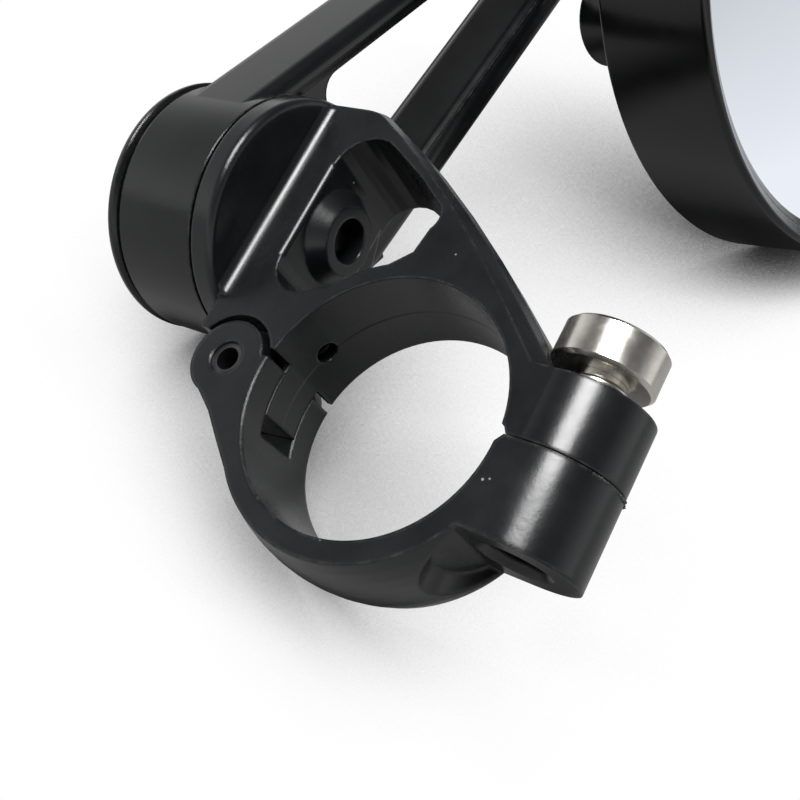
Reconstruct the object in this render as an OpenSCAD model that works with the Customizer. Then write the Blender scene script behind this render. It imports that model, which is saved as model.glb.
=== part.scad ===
// Bar end mirror on a hinged bar clamp.
// Origin: centre of the bar bore, halfway across the clamp's width.
// +X runs outboard along the bar, +Y from the clamp to the drum cap, +Z up the arm.

/* [Bar clamp] */
// Outside diameter of the handlebar
bar_d = 22.2; // [21.8:0.1:22.6]
// Radial clearance of the closed clamp round the bar
bar_clear = 0.05; // [0.05:0.05:0.2]
// Width of the clamp along the bar
clamp_w = 10.6; // [10:0.2:13]
// How far the body's flat faces stand back from the jaw's
face_step = 0.15; // [0:0.05:0.4]
// Wall of the lower jaw round the bar
jaw_wall = 1.8; // [1.6:0.1:2.6]
// How far the jaw's ring stands out at its middle
jaw_crown = 0.8; // [0.2:0.1:1]
// Wall between the bar and the body's window
ring_wall = 1.4; // [1.2:0.1:2]
// Height of the parting face over the bar's centre
part_z = 1; // [0.5:0.1:1.5]
// Gap between the two halves when closed
part_gap = 0.1; // [0.05:0.05:0.3]

/* [Clamp screw] */
// Distance of the screw's axis from the bar's centre
screw_y = 14.1; // [14:0.1:15]
// Thread diameter of the clamp screw
screw_d = 5; // [4.5:0.5:5]
// Radial clearance of the screw in the upper ear
screw_clear = 0.1; // [0.05:0.05:0.15]
// Radial clearance that stands in for the thread in the jaw
thread_clear = 0.06; // [0.04:0.01:0.1]
// Diameter of the screw's head
head_d = 8.5; // [8:0.1:9]
// Height of the screw's head
head_h = 3.5; // [3:0.1:5]
// Top of the upper ear over the bar's centre
ear_top = 6.8; // [6:0.1:8]
// Depth of the jaw's boss under the bar's centre
boss_low = 6.4; // [6:0.1:8]
// How far the screw stands backed out
screw_out = 2; // [0.5:0.1:3]
// Length of the screw's shank
shank_l = 7.6; // [7:0.1:7.8]
// Hexagon socket of the clamp screw, across flats
hex_af = 3; // [2.5:0.5:3.5]
// Mouth diameter of the countersink under the jaw's thread
sink_d = 6.3; // [5.6:0.1:7]

/* [Jaw hinge] */
// Distance of the hinge pin from the bar's centre
pin_y = 15.2; // [15:0.1:16.5]
// Height of the hinge pin, negative is below the bar's centre
pin_z = -0.3; // [-0.6:0.1:0.3]
// Outside diameter of the hollow hinge pin
pin_d = 3; // [2.6:0.1:3.2]
// Bore of the hollow hinge pin
pin_bore = 2.1; // [1.4:0.1:2.2]
// Radius of the jaw's hinge ears
ear_r = 3.5; // [3.4:0.1:3.8]
// Width of the body's hinge knuckle
knuckle_w = 4.8; // [4:0.2:5.6]
// Side clearance of the knuckle in the jaw's slot
knuckle_gap = 0.12; // [0.08:0.01:0.2]
// Clearance round the turning ears
ear_gap = 0.65; // [0.4:0.05:0.7]
// Angle to which the knuckle's lip follows the bar below level
lip_angle = 15; // [10:1:17]
// Reach of the jaw's slot round the pin
slot_r = 6.9; // [6:0.1:7.2]
// Depth of the flat under the hinge side of the body
cheek_z = 1.7; // [1.4:0.1:2.2]

/* [Clamp body] */
// Edge of the rib that stands beside the window
rib_in = 15.7; // [15.3:0.1:16]
// Radius of the fillet between the body's flat face and the flange
flange_fillet = 1.1; // [0.8:0.1:1.4]
// Radius of the rib's edge along the window
window_round = 0.5; // [0.3:0.1:0.6]
// Top of the clamp body over the bar's centre
body_top = 25.9; // [25.4:0.1:26.4]
// Thickness of the sloping wall over the window
slope_wall = 0.75; // [0.6:0.05:1]
// Bow of the sloping wall
slope_bow = 0.8; // [0.5:0.1:1]
// How far the sloping wall's middle stands out of its edges, at its foot
slope_crown = 1.5; // [0.8:0.1:1.6]
// The same at its top
top_crown = 0.8; // [0.4:0.1:0.9]
// Radius of the window's top corner
win_top_r = 3.3; // [2.5:0.1:3.6]
// Radius of the window's corner beside the hinge
win_low_r = 3; // [2.6:0.1:3.2]
// Radius of the window's corner beside the screw
win_side_r = 1.7; // [1.4:0.1:1.8]
// Radius of the boss round the pivot hole
pivot_boss_r = 3.2; // [3:0.1:3.6]
// Distance of that boss's face from the bar's centre
pivot_boss_y = 14.2; // [13.8:0.1:15]

/* [Pivot drum] */
// Height of the drum's axis over the bar's centre
drum_z = 15.3; // [15:0.1:15.6]
// Radius of the drum
drum_r = 12; // [11.6:0.1:12.4]
// Front face of the clamp's flange
flange_y = 19.7; // [19.4:0.1:20]
// Thickness of the flange
flange_t = 2.3; // [2:0.1:2.6]
// Radius of the flange's front edge
flange_round = 0.6; // [0.4:0.1:0.8]
// Gap between the flange and the arm's hub
hub_gap = 0.35; // [0.25:0.05:0.5]
// Thickness of the arm's hub
hub_t = 9.1; // [8.8:0.1:10]
// Gap that the cap's seal fills
seal_gap = 0.7; // [0.5:0.1:0.9]
// Thickness of the drum cap's edge
cap_edge = 1.3; // [1:0.1:1.8]
// Height of the drum cap's dome
cap_dome = 1.6; // [1:0.1:2.4]
// Thread diameter of the pivot bolt
bolt_d = 5; // [4.5:0.5:5]
// Wall of the bush round the pivot bolt
bush_t = 1; // [0.8:0.1:1.4]
// Radius of the pocket for the bolt's head
pocket_r = 6.6; // [6.2:0.1:7.4]
// Depth of the pocket for the bolt's head
pocket_h = 4.3; // [4.2:0.1:5]
// Thickness of the friction washer
friction_t = 0.8; // [0.6:0.1:1]

/* [Arm] */
// Lean of the inboard strut from upright
strut_a_lean = 21.9; // [20:0.1:23]
// Thickness of the inboard strut
strut_a_t = 2.9; // [2.8:0.1:3.4]
// Lean of the outboard strut from upright
strut_b_lean = 8.4; // [7:0.1:9]
// Thickness of the outboard strut
strut_b_t = 4.2; // [3.4:0.1:4.6]
// Distance of the outboard strut's middle from the drum's axis
strut_b_off = 12.8; // [12:0.1:13.2]
// Depth of the struts
strut_w = 8.6; // [8:0.1:9]
// Radius of the struts' long edges
strut_round = 1.5; // [1:0.1:1.5]
// Height of the web's edge over the bar's centre
web_top = 27.5; // [27.4:0.1:29]
// Radius of the web's inner corners
web_r = 2.2; // [2:0.1:3]
// Height of the tip boss over the bar's centre
tip_z = 105; // [102:0.5:108]
// Distance of the tip boss from the clamp's middle
tip_x = 25; // [24.5:0.1:25.5]
// Radius of the tip boss
tip_r = 7.5; // [7:0.1:8.5]

/* [Ball joint] */
// Diameter of the ball
ball_d = 9; // [8.6:0.1:9]
// Distance from the arm's inner face to the ball's centre
ball_reach = 9.45; // [9.3:0.05:11]
// Diameter of the ball stud's neck
neck_d = 4; // [3.6:0.1:4.2]
// Running clearance of each curved face of the joint
ball_clear = 0.05; // [0.04:0.01:0.08]
// Thickness of the ball's seat
seat_t = 1.05; // [0.9:0.05:1.2]
// Half angle of the seat's opening round the neck
seat_open = 54; // [53:1:56]
// Radius of the socket's boss and cap
socket_r = 9.4; // [9.2:0.1:9.8]
// Height of the cap over the ball's centre
socket_up = 3; // [2.8:0.1:3.2]
// Turn of the mirror head about the upright
head_turn = -15; // [-18:1:-12]
// Nod of the mirror head
head_nod = 5; // [3:1:7]

/* [Mirror head] */
// Radius of the mirror head
head_r = 37.5; // [36.5:0.1:40]
// Depth of the mirror head from rim to back
head_depth = 15.1; // [14.6:0.1:16]
// Place of the head's middle beside the ball
head_x = 15.9; // [15:0.1:16.5]
// Place of the head's middle below the ball
head_z = -14.65; // [-15.5:0.05:-14]
// Wall of the housing
wall = 2; // [1.6:0.1:2.2]
// Radius of the housing's back edge
back_round = 0.6; // [0.4:0.1:1.2]
// Distance of the housing's back from the ball's centre
back_drop = 3; // [2.8:0.1:3.2]
// Thickness of the mirror glass
glass_t = 2; // [1.6:0.1:2.2]
// Width of the rim and bezel round the glass that shows
bezel_w = 3.3; // [3:0.1:4.4]
// Radius of the rim's outer edge
rim_round = 0.7; // [0.4:0.1:0.9]
// Depth of the glass under the rim
glass_drop = 1.9; // [1.6:0.1:2.4]
// Thickness of the adhesive pad behind the glass
pad_t = 1; // [0.8:0.1:1.2]
// Height of the raised rail on the housing's back
rail_h = 5; // [4.6:0.1:5.2]
// Half width of the rail
rail_r = 5.7; // [5.2:0.1:5.8]
// Length of the rail below the ball
rail_l = 39.2; // [37:0.1:40]

/* [Hidden] */
$fn = 96;
// Plain overshoot of every cutting tool past the face that it leaves
cut = 1;
// Ease of the corners that face each other where the halves part
lip = 0.5;
// Slip between pieces that are fitted by hand or pressed together
slip = 0.02;
bore_r = bar_d / 2 + bar_clear;
half_w = clamp_w / 2;
body_half = half_w - face_step;
ring_r = bore_r + ring_wall;
jaw_r = bore_r + jaw_wall;
recess_r = ear_r + ear_gap;
tongue_half = knuckle_w / 2;
slot_half = tongue_half + knuckle_gap;
pin_slip = 0.05;
// Slope of the body's outer wall, from the ear up to the drum
slope_low = [-screw_y + 3.5, ear_top + 0.1];
slope_high = [10.7, body_top - 2.1];
slope_dir = (slope_high - slope_low) / norm(slope_high - slope_low);
slope_out = [-slope_dir[1], slope_dir[0]];
// The drum, from the flange outwards
flange_end = flange_y + flange_t;
hub_y = flange_end + hub_gap;
hub_end = hub_y + hub_t;
cap_y = hub_end + seal_gap;
bush_r = bolt_d / 2 + pin_slip + bush_t;
pocket_y = hub_end - pocket_h;
thrust_t = 1;
spring_t = 1;
bolt_head_h = 1.8;
bolt_head_r = 4.3;
bolt_tip_y = pivot_boss_y + 2;
// The arm's inner and outer faces
arm_y = hub_y + (hub_t - strut_w) / 2;
arm_end = arm_y + strut_w;
strut_a_off = -(drum_r - 0.06 - strut_a_t / 2);
// The ball joint, in the row's frame
ball_r = ball_d / 2;
neck_r = neck_d / 2;
ball_at = [tip_x + 0.8, hub_y - ball_reach, tip_z + 0.3];
seat_r = ball_r + ball_clear + seat_t;
socket_in = seat_r + ball_clear;
// The head, in a frame whose origin is the ball's centre and whose -Y is the way it looks
back_y = -back_drop;
rim_y = back_y - head_depth;
glass_y = rim_y + glass_drop;
glass_back = glass_y + glass_t;
pad_back = glass_back + pad_t;
inner_r = head_r - wall;
glass_show = head_r - bezel_w;
ledge_r = inner_r - 3.5;
rail_top = back_y + rail_h;
cap_screw_at = 7.5;
cap_screw_r = 0.8;
cap_screw_head = 1.5;
cap_screw_head_h = 1;
cap_screw_l = 4;

// A run of points along an arc in the drawing plane
function arc(c, r, a0, a1, n = 12) = [
    for (i = [0:n]) c + r * [cos(a0 + (a1 - a0) * i / n), sin(a0 + (a1 - a0) * i / n)]
];
// A point of the body's bowed slope, by its share of the way up
function slope_at(t) =
    slope_low + (slope_high - slope_low) * t + slope_out * 4 * slope_bow * t * (1 - t);
// Circumradius of a hexagon with flats af apart
function hex_r(af) = af / 2 / cos(30);

// A drawing in Y and Z, given a width along X
module across(x0, x1) {
    translate([x0, 0, 0]) rotate([90, 0, 90]) linear_extrude(x1 - x0) children();
}
// A drawing in X and Z, given a depth along Y
module along(y0, y1) {
    translate([0, y1, 0]) rotate([90, 0, 0]) linear_extrude(y1 - y0) children();
}
// A round bar along X through the point y, z
module x_round(r, x0, x1, y, z) {
    translate([x0, y, z]) rotate([0, 90, 0]) cylinder(r = r, h = x1 - x0);
}
// A round bar along Y through the point x, z
module y_round(r, y0, y1, x = 0, z = 0) {
    translate([x, y0, z]) rotate([-90, 0, 0]) cylinder(r = r, h = y1 - y0);
}
// A round bar along Z through the point 0, y
module z_round(r, z0, z1, y) {
    translate([0, y, z0]) cylinder(r = r, h = z1 - z0);
}
// A profile of radius and width, turned about the X axis
module x_turned() {
    rotate([0, 90, 0]) rotate_extrude() children();
}
// A profile of radius and height, turned about the Y axis
module y_turned(x = 0, z = 0) {
    translate([x, 0, z]) rotate([-90, 0, 0]) rotate_extrude() children();
}
// Tool that rounds a square edge which runs along Z; sx and sy point into the metal
module edge_round(r, x, y, sx, sy, z0, z1) {
    translate([x, y, z0]) linear_extrude(z1 - z0) difference() {
        translate([sx > 0 ? -cut : -r, sy > 0 ? -cut : -r]) square(r + cut);
        translate([sx * r, sy * r]) circle(r);
    }
}
// Places its children in the head's frame
module head_frame() {
    translate(ball_at) rotate([head_nod, 0, head_turn]) children();
}
// Places its children at the screws of the socket cap
module at_cap_screws() {
    for (a = [90, 210, 330]) translate([cap_screw_at * cos(a), 0, cap_screw_at * sin(a)]) children();
}

// Outline of the body's flat face, without its holes
module body_outline() {
    polygon(concat(
        [[-screw_y, part_z], [-screw_y, ear_top], [slope_low[0] - 0.3, ear_top]],
        [for (t = [0:0.2:1]) slope_at(t)],
        top_arc(0),
        [[flange_y + slip, body_top], [flange_y + slip, cheek_z], [bore_r - 2, cheek_z],
         [0, 0], [-bore_r + 2, part_z]]
    ));
}
// Rounded top of the body's outline, grown by a given amount
function top_arc(grow) = arc([rib_in - 0.2, body_top - 4.4], 4.4 + grow, 125, 90, 5);

// Outline of the part over the bore, grown by a share of the crown
module sail_outline(share) {
    foot = slope_low - slope_dir * 2;
    grow = top_crown * share;
    polygon(concat(
        [[foot[0], part_z + 1], foot + slope_out * slope_crown * share],
        [for (t = [0:0.2:1]) slope_at(t) + slope_out * share * (slope_crown * (1 - t) + top_crown * t)],
        top_arc(grow),
        [[flange_y + slip, body_top + grow], [flange_y + slip, part_z + 1]]
    ));
}

// The part over the bore, with its outer wall crowned along the bar
module sail() {
    hull() {
        across(-body_half, body_half) sail_outline(0);
        across(-body_half + 1, body_half - 1) sail_outline(0.7);
        across(-body_half + 2.2, body_half - 2.2) sail_outline(1);
    }
}

// Window through the body: three rounded corners and an arc that follows the bar
module window_outline() {
    top_at = [rib_in - win_top_r, body_top - 6.1];
    low_at = [rib_in - win_low_r, 10];
    side_at = slope_at(0.65) - slope_out * (slope_wall + win_side_r);
    slope_a = atan2(slope_out[1], slope_out[0]);
    difference() {
        polygon(concat(
            arc(top_at, win_top_r, 0, slope_a - 6, 8),
            [slope_at(0.8) - slope_out * slope_wall],
            arc(side_at, win_side_r, slope_a, 215, 8),
            [(ring_r + 1) * [cos(76), sin(76)], ring_r * [cos(67), sin(67)],
             bore_r * [cos(55), sin(55)], ring_r * [cos(41), sin(41)]],
            arc(low_at, win_low_r, 222, 360, 10)
        ));
        circle(ring_r);
    }
}

// Fillets from the body's two flat faces to the flange
module flange_fillets() {
    r = flange_fillet;
    intersection() {
        for (s = [0, 1]) mirror([s, 0, 0])
            translate([0, 0, part_z]) linear_extrude(body_top) difference() {
                translate([body_half - 1, flange_y - r]) square([r + 1, r + 0.5]);
                translate([body_half + r - slip, flange_y - r + slip]) circle(r);
            }
        y_round(drum_r - flange_round, flange_y - r - cut, flange_end, 0, drum_z);
    }
}

// Pivot flange, its front edge rounded
module flange() {
    e = flange_round;
    y_turned(z = drum_z) polygon(concat(
        [[0, flange_end], [0, flange_y]],
        arc([drum_r - e, flange_y + e], e, -90, 0, 5),
        [[drum_r, flange_end]]
    ));
}

// The hinge knuckle, with the lip that carries the bore on over the jaw's slot
module knuckle() {
    lip_end = bore_r * [cos(lip_angle), -sin(lip_angle)];
    across(-tongue_half, tongue_half) difference() {
        union() {
            translate([pin_y, pin_z]) circle(ear_r - 0.1);
            polygon([[bore_r - 2, cheek_z + cut], [bore_r - 0.5, -1], lip_end - [0.6, 0],
                     lip_end + [0.4, -0.3], [pin_y - 1.2, pin_z - ear_r + 0.3],
                     [pin_y + ear_r - 0.3, pin_z + 1], [pin_y + ear_r - 0.3, cheek_z + cut]]);
        }
        circle(bore_r);
    }
}

module clamp_body() {
    boss_y = pivot_boss_y;
    color("#232326") difference() {
        union() {
            difference() {
                union() {
                    difference() {
                        union() {
                            across(-body_half, body_half) body_outline();
                            sail();
                        }
                        // spot face round the screw's head
                        z_round(head_d / 2 + 0.4, ear_top, body_top, -screw_y);
                    }
                    z_round(half_w, part_z, ear_top, -screw_y);
                }
                // the ears' recess on both sides of the knuckle
                for (s = [-1, 1])
                    x_round(recess_r, s > 0 ? tongue_half : -half_w - cut,
                            s > 0 ? half_w + cut : -tongue_half, pin_y, pin_z);
                across(-half_w - cut, half_w + cut) window_outline();
                for (s = [-1, 1])
                    edge_round(window_round, s * body_half, rib_in, -s, 1, 10, body_top - 6.1);
                across(-half_w - cut, half_w + cut) {
                    // underside of the cheeks, and the eased corner at the parting
                    translate([0, -cut]) square([flange_y + cut, cheek_z + cut]);
                    polygon([[-bore_r - lip, part_z - slip], [-bore_r, part_z + lip * 1.4],
                             [-bore_r + cut, part_z - slip]]);
                }
            }
            knuckle();
            flange();
            flange_fillets();
            translate([0, boss_y, drum_z]) rotate([-90, 0, 0])
                cylinder(r1 = pivot_boss_r, r2 = pivot_boss_r + 1.6, h = rib_in + 0.4 - boss_y);
        }
        x_round(bore_r, -half_w - cut, half_w + cut, 0, 0);
        x_round(pin_d / 2 + pin_slip, -half_w - cut, half_w + cut, pin_y, pin_z);
        z_round(screw_d / 2 + screw_clear, part_z - cut, ear_top + cut, -screw_y);
        // the tapped pivot hole, full size where the bolt sits
        y_round(bolt_d / 2 - 0.4, boss_y - cut, bolt_tip_y + 0.2, 0, drum_z);
        y_round(bolt_d / 2 + slip, bolt_tip_y, flange_end + cut, 0, drum_z);
        // locating dimple in the bore
        rotate([24, 0, 0]) y_round(1, bore_r - cut, bore_r + 1.3);
    }
}

module clamp_jaw() {
    boss_top = part_z - part_gap;
    web_z = cheek_z - 0.8;
    wide = 2 * jaw_r;
    color("#1e1e21") difference() {
        union() {
            difference() {
                // ring with a crowned outside
                x_turned() polygon(concat(
                    [[bore_r - cut, half_w], [bore_r - cut, -half_w]],
                    [for (t = [-1:0.25:1]) [jaw_r + jaw_crown * (1 - t * t), half_w * t]]
                ));
                // the half that the body fills
                across(-half_w - cut, half_w + cut) {
                    translate([-wide, boss_top]) square(wide);
                    translate([-cut, web_z]) square(wide);
                }
            }
            across(-half_w, half_w) {
                // web from the ring to the ear
                polygon(concat(
                    arc([pin_y, pin_z], ear_r, 160, -75, 16),
                    [[pin_y - 1.3, pin_z - 4.8], (jaw_r + 0.6) * [cos(32), -sin(32)],
                     jaw_r * [cos(44), -sin(44)], [bore_r - 2, -1], [bore_r - 2, web_z]]
                ));
                translate([-screw_y, -boss_low]) square([screw_y - 8, boss_low + boss_top]);
            }
            x_round(ear_r, -half_w, half_w, pin_y, pin_z);
            z_round(half_w, -boss_low, boss_top, -screw_y);
        }
        x_round(bore_r, -half_w - cut, half_w + cut, 0, 0);
        // slot for the knuckle
        x_round(slot_r, -slot_half, slot_half, pin_y, pin_z);
        x_round(pin_d / 2 + slip, -half_w - cut, half_w + cut, pin_y, pin_z);
        // eased corner at the parting
        across(-half_w - cut, half_w + cut)
            polygon([[-bore_r - lip, boss_top + slip], [-bore_r, boss_top - lip * 1.4],
                     [-bore_r + cut, boss_top + slip]]);
        // spot face that scoops the ring's outside below the boss
        difference() {
            z_round(half_w + 0.3, -wide, -boss_low, -screw_y);
            x_round(bore_r + 1.1, -half_w - 2 * cut, half_w + 2 * cut, 0, 0);
        }
        z_round(screw_d / 2 + thread_clear, -boss_low - cut, boss_top + cut, -screw_y);
        translate([0, -screw_y, -boss_low - slip])
            cylinder(r1 = sink_d / 2, r2 = screw_d / 2, h = (sink_d - screw_d) / 2);
    }
}

module hinge_pin() {
    color("#8d8d90") difference() {
        x_round(pin_d / 2, -half_w + 0.3, half_w - 0.3, pin_y, pin_z);
        x_round(pin_bore / 2, -half_w - cut, half_w + cut, pin_y, pin_z);
    }
}

module clamp_screw() {
    seat_z = ear_top + screw_out;
    chamfer = 0.3;
    color("#c9c6bd") translate([0, -screw_y, seat_z]) difference() {
        rotate_extrude() polygon([
            [0, -shank_l], [screw_d / 2 - 0.6, -shank_l], [screw_d / 2, -shank_l + 0.6],
            [screw_d / 2, 0], [head_d / 2 - chamfer, 0], [head_d / 2, chamfer],
            [head_d / 2, head_h - chamfer], [head_d / 2 - chamfer, head_h], [0, head_h]
        ]);
        translate([0, 0, head_h - 2]) cylinder(r = hex_r(hex_af), h = 2 + cut, $fn = 6);
    }
}

module pivot_bolt() {
    head_y = pocket_y + thrust_t + spring_t;
    color("#4a4a4e") difference() {
        union() {
            y_round(bolt_d / 2, bolt_tip_y + 0.1, head_y + slip, 0, drum_z);
            y_round(bolt_head_r, head_y, head_y + bolt_head_h, 0, drum_z);
        }
        translate([0, head_y + 0.5, drum_z]) rotate([-90, 0, 0])
            cylinder(r = hex_r(hex_af), h = bolt_head_h, $fn = 6);
    }
}

module thrust_washer() {
    color("#5a5a5e") difference() {
        y_round(pocket_r - 0.4, pocket_y, pocket_y + thrust_t, 0, drum_z);
        y_round(bolt_d / 2 + 0.1, pocket_y - cut, pocket_y + thrust_t + cut, 0, drum_z);
    }
}

module disc_spring() {
    y0 = pocket_y + thrust_t;
    lift = 0.4;
    color("#6a6a6e") translate([0, y0, 0]) y_turned(z = drum_z) polygon([
        [bolt_d / 2 + 0.15, lift], [pocket_r - 0.8, 0], [pocket_r - 0.8, spring_t - lift],
        [bolt_d / 2 + 0.15, spring_t]
    ]);
}

module friction_washer() {
    color("#b9b4a6") difference() {
        y_round(drum_r - 1.6, flange_end, flange_end + friction_t, 0, drum_z);
        y_round(bush_r + 0.3, flange_end - cut, flange_end + friction_t + cut, 0, drum_z);
    }
}

// Section of a strut: a slab with full round edges
module strut_section(t) {
    r = min(strut_round, t / 2 - 0.05);
    a = t / 2 - r;
    b = strut_w / 2 - r;
    polygon(concat(arc([a, b], r, 0, 90, 6), arc([-a, b], r, 90, 180, 6),
                   arc([-a, -b], r, 180, 270, 6), arc([a, -b], r, 270, 360, 6)));
}

// A strut that leans from upright and passes the drum's axis at the given distance
module strut(lean, t, off, low, high) {
    translate([0, arm_y + strut_w / 2, drum_z]) rotate([0, lean, 0]) translate([off, 0, low])
        linear_extrude(high - low) strut_section(t);
}

// The point where a strut's line, shifted sideways, is at height z
function strut_at(lean, off, z) =
    [off / cos(lean) + (z - drum_z) * tan(lean), z];

// Opening between the struts, with round corners
module arm_opening() {
    in_a = strut_a_off + strut_a_t / 2 - 0.3;
    in_b = strut_b_off - strut_b_t / 2 + 0.3;
    low = web_top + web_r;
    high = tip_z - tip_r - 8;
    a_low = strut_at(strut_a_lean, in_a + web_r, low);
    b_low = strut_at(strut_b_lean, in_b - web_r, low);
    a_high = strut_at(strut_a_lean, in_a, high);
    b_high = strut_at(strut_b_lean, in_b, high);
    polygon(concat(
        arc(a_low, web_r, 180 - strut_a_lean, 270, 8),
        arc(b_low, web_r, 270, 360 - strut_b_lean, 8),
        [b_high, a_high]
    ));
}

module arm() {
    rise = tip_z - drum_z;
    web_in = 0.3;
    flare = strut_at(strut_b_lean, strut_b_off + strut_b_t / 2 - 0.1, drum_z + 7);
    color("#202023") difference() {
        union() {
            y_round(drum_r, hub_y, hub_end, 0, drum_z);
            strut(strut_a_lean, strut_a_t, strut_a_off, 0, rise / cos(strut_a_lean) - 1);
            strut(strut_b_lean, strut_b_t, strut_b_off, 5, rise / cos(strut_b_lean) - 2);
            // web and flare over the drum, and the gusset under the tip
            along(arm_y + web_in, arm_end - web_in) difference() {
                polygon([
                    strut_at(strut_a_lean, strut_a_off, drum_z + 2),
                    strut_at(strut_a_lean, strut_a_off, tip_z - 3),
                    strut_at(strut_b_lean, strut_b_off, tip_z - 3),
                    strut_at(strut_b_lean, strut_b_off, drum_z + 8),
                    flare, [drum_r * cos(12), drum_z - drum_r * sin(12)], [0, drum_z]
                ]);
                arm_opening();
            }
            y_round(tip_r, hub_y, hub_end, ball_at[0], ball_at[2]);
        }
        // bore of the bush, the washer's recess and the pocket for the bolt's head
        y_round(bush_r + slip, hub_y - cut, hub_end + cut, 0, drum_z);
        y_round(drum_r - 1.3, hub_y - cut, flange_end + friction_t, 0, drum_z);
        y_round(pocket_r, pocket_y, hub_end + cut, 0, drum_z);
        // stud hole in the tip
        y_round(neck_r + ball_clear, hub_y - cut, hub_end + cut, ball_at[0], ball_at[2]);
    }
}

module pivot_bush() {
    color("#a07a3c") difference() {
        y_round(bush_r, flange_end + friction_t + slip, pocket_y - slip, 0, drum_z);
        y_round(bolt_d / 2 + pin_slip, flange_end, pocket_y + cut, 0, drum_z);
    }
}

module end_cap() {
    edge = 0.8;
    spigot = pocket_r - 0.05;
    lift = cap_y - 2.1;
    dome_r = (pow(drum_r - edge, 2) + pow(cap_dome, 2)) / (2 * cap_dome);
    dome_a = asin((drum_r - edge) / dome_r);
    top = cap_y + cap_edge;
    color("#1c1c1f") y_turned(z = drum_z) polygon(concat(
        [[0, cap_y], [spigot - 1.3, cap_y], [spigot - 1.3, lift], [spigot, lift],
         [spigot, cap_y], [drum_r - 0.3, cap_y], [drum_r + 0.1, cap_y + 0.3]],
        arc([drum_r + 0.1 - edge, top - edge], edge, 0, 90 - dome_a, 6),
        [for (i = [1:12]) let (a = dome_a * (1 - i / 12))
            [dome_r * sin(a), top + cap_dome - dome_r * (1 - cos(a))]]
    ));
}

module cap_seal() {
    color("#0f0f10") y_turned(z = drum_z)
        translate([drum_r - 0.9, hub_end + seal_gap / 2]) circle(d = seal_gap - slip, $fn = 24);
}

module ball_stud() {
    stud_end = hub_end + 5;
    collar = 1.2;
    color("#9a9a9c") translate(ball_at) union() {
        sphere(ball_r, $fn = 60);
        y_round(neck_r, 0, stud_end - ball_at[1]);
        y_round(neck_r + 1.6, ball_reach - collar, ball_reach);
    }
}

module stud_washer() {
    color("#9a9a9c") translate([ball_at[0], 0, ball_at[2]]) difference() {
        y_round(4.5, hub_end, hub_end + 0.8);
        y_round(neck_r + slip, hub_end - cut, hub_end + 2);
    }
}

module stud_nut() {
    nut_y = hub_end + 0.8;
    color("#9a9a9c") translate([ball_at[0], 0, ball_at[2]]) difference() {
        translate([0, nut_y, 0]) rotate([-90, 0, 0]) cylinder(r = hex_r(7), h = 3.2, $fn = 6);
        y_round(neck_r + slip, nut_y - cut, nut_y + 5);
    }
}

module ball_seat() {
    wide = 2 * seat_r;
    // ring in section, with its mouth towards the arm and a flat cut away opposite it
    color("#d8d4c8") translate(ball_at) rotate([0, 0, head_turn]) y_turned() difference() {
        circle(seat_r, $fn = 120);
        circle(ball_r + ball_clear, $fn = 120);
        polygon([[0, 0], [wide * tan(seat_open), wide], [0, wide]]);
        translate([-wide, -wide]) square([wide, 2 * wide]);
        translate([0, -wide - ball_r * 0.8]) square([wide, wide]);
    }
}

// Outline of the raised rail, seen from behind
module rail_outline() {
    low = [-0.7, -rail_l];
    circle(rail_r);
    translate(low) circle(rail_r);
    polygon([[-rail_r, 0], [rail_r, 0], low + [rail_r, 0], low - [rail_r, 0]]);
}

module mirror_housing() {
    color("#1b1b1e") head_frame() difference() {
        union() {
            y_turned(head_x, head_z) polygon(concat(
                [[0, back_y]],
                arc([head_r - back_round, back_y - back_round], back_round, 90, 0, 6),
                arc([head_r - rim_round, rim_y + rim_round], rim_round, 0, -90, 6),
                [[inner_r, rim_y + 0.9], [inner_r, pad_back], [ledge_r, pad_back],
                 [ledge_r, back_y - wall], [0, back_y - wall]]
            ));
            along(back_y - slip, rail_top) rail_outline();
            y_round(socket_r, back_y - socket_in, 0);
        }
        // room for the cap, which is a disc over the ball
        y_round(socket_r + 0.1, 0, socket_up + cut);
        sphere(socket_in);
        at_cap_screws() y_round(cap_screw_r + slip, -cap_screw_l, cut);
    }
}

module socket_cap() {
    color("#1b1b1e") head_frame() difference() {
        y_round(socket_r, slip, socket_up);
        sphere(socket_in);
        at_cap_screws() {
            y_round(cap_screw_r + slip, -cut, socket_up + cut);
            y_round(cap_screw_head + 0.1, socket_up - cap_screw_head_h, socket_up + cut);
        }
    }
}

module cap_screws() {
    top = socket_up - cap_screw_head_h;
    color("#b8b5ac") head_frame() at_cap_screws() difference() {
        union() {
            y_round(cap_screw_r, -cap_screw_l + 0.2, top + slip);
            y_round(cap_screw_head, top, socket_up - 0.1);
        }
        translate([0, socket_up - 0.8, 0]) rotate([-90, 0, 0])
            cylinder(r = hex_r(1.3), h = cut, $fn = 6);
    }
}

module glass_pad() {
    color("#3a3a3c") head_frame()
        y_round(inner_r - 0.3, glass_back, pad_back, head_x, head_z);
}

module mirror_glass() {
    color("#e6ebf2") head_frame() y_round(inner_r - 0.1, glass_y, glass_back, head_x, head_z);
}

module bezel_ring() {
    color("#2a2a2d") head_frame() y_turned(head_x, head_z) polygon([
        [glass_show, glass_y], [inner_r - 0.05, glass_y], [inner_r - 0.05, rim_y + 0.95],
        [glass_show + 0.1, glass_y - 0.15]
    ]);
}

clamp_body();
pivot_bolt();
thrust_washer();
disc_spring();
friction_washer();
clamp_jaw();
hinge_pin();
clamp_screw();
arm();
pivot_bush();
end_cap();
cap_seal();
ball_stud();
stud_washer();
stud_nut();
ball_seat();
mirror_housing();
socket_cap();
cap_screws();
glass_pad();
mirror_glass();
bezel_ring();
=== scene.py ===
"""Looks of the bar end mirror: finishes, the threaded screw, cast edges, floor, light, camera."""
import enum
import logging
import math
import random
from dataclasses import dataclass, field
from typing import ClassVar

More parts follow.
